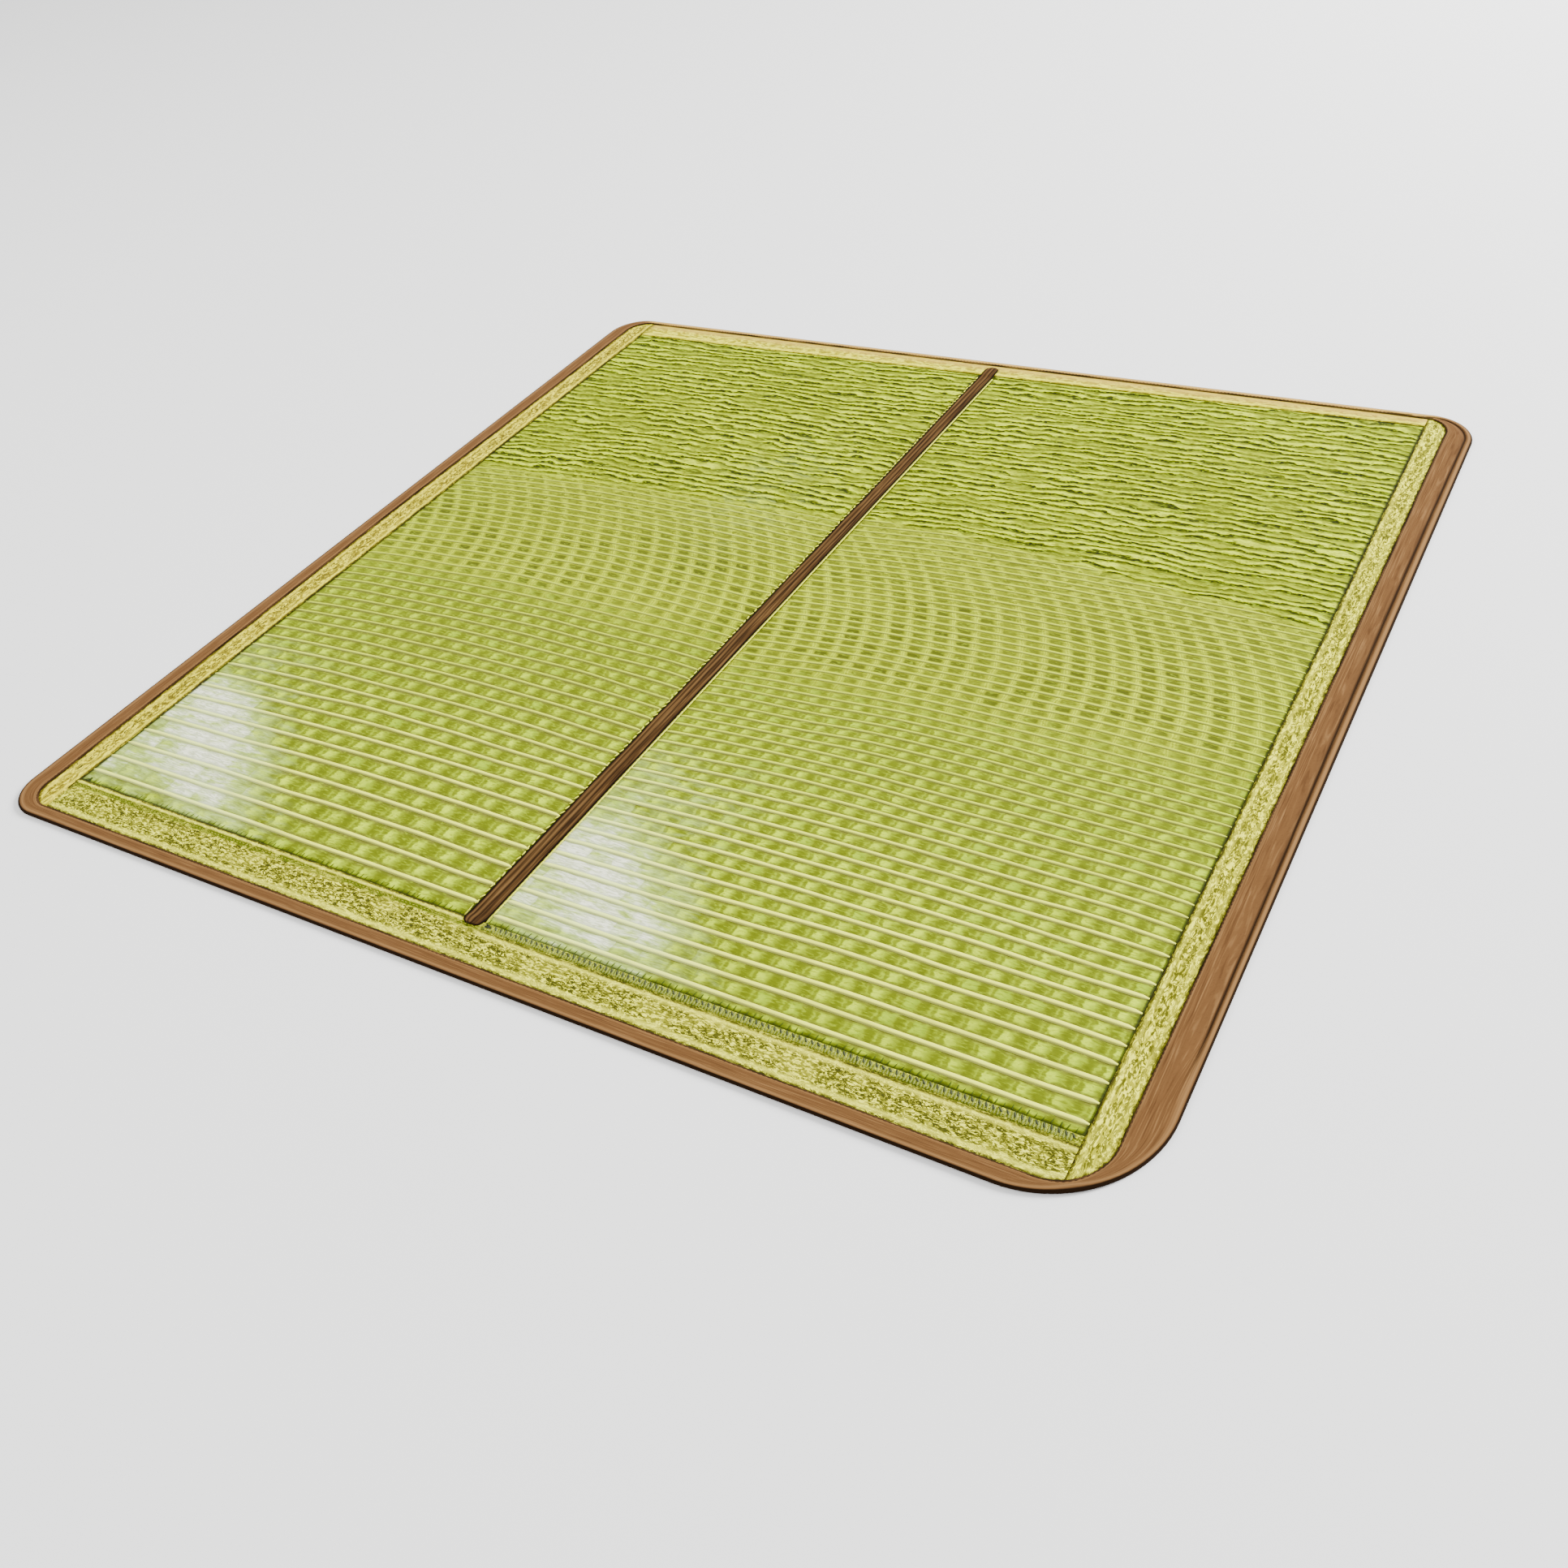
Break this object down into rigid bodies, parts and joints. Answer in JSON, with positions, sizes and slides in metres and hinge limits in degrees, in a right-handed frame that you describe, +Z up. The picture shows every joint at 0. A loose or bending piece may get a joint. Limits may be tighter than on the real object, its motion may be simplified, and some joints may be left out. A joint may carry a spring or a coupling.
{
  "type": "bamboo sleeping mat",
  "caption": "Flat folding sleeping mat of woven bamboo panels with cream cloth borders, a brown binding tape, a centre strip and elastic corner straps underneath.",
  "frame": {"origin": "middle of the mat's outline, on the surface that the mat lies on", "axes": "+X along the front edge from left to right, +Y from the front edge to the back edge, +Z up"},
  "size_m": [2, 1.95, 0.0071],
  "materials": {
    "bamboo_weave": "woven green bamboo, soft gloss on the crowns",
    "cream_cloth": "matt slubbed cotton with olive flecks",
    "brown_tape": "matt ribbed binding tape",
    "dark_tape": "matt ribbed tape with long ridges",
    "elastic": "matt ribbed elastic webbing"
  },
  "bodies": {
    "root": {"left_panel": "bamboo_weave", "right_panel": "bamboo_weave", "border_left": "cream_cloth", "border_right": "cream_cloth", "border_front": "cream_cloth", "border_back": "cream_cloth", "under_border_left": "cream_cloth", "under_border_right": "cream_cloth", "under_border_front": "cream_cloth", "under_border_back": "cream_cloth", "binding_tape": "brown_tape", "centre_strip": "dark_tape", "corner_strap_front_left": "elastic", "corner_strap_front_right": "elastic", "corner_strap_back_left": "elastic", "corner_strap_back_right": "elastic"}
  },
  "joints": []
}
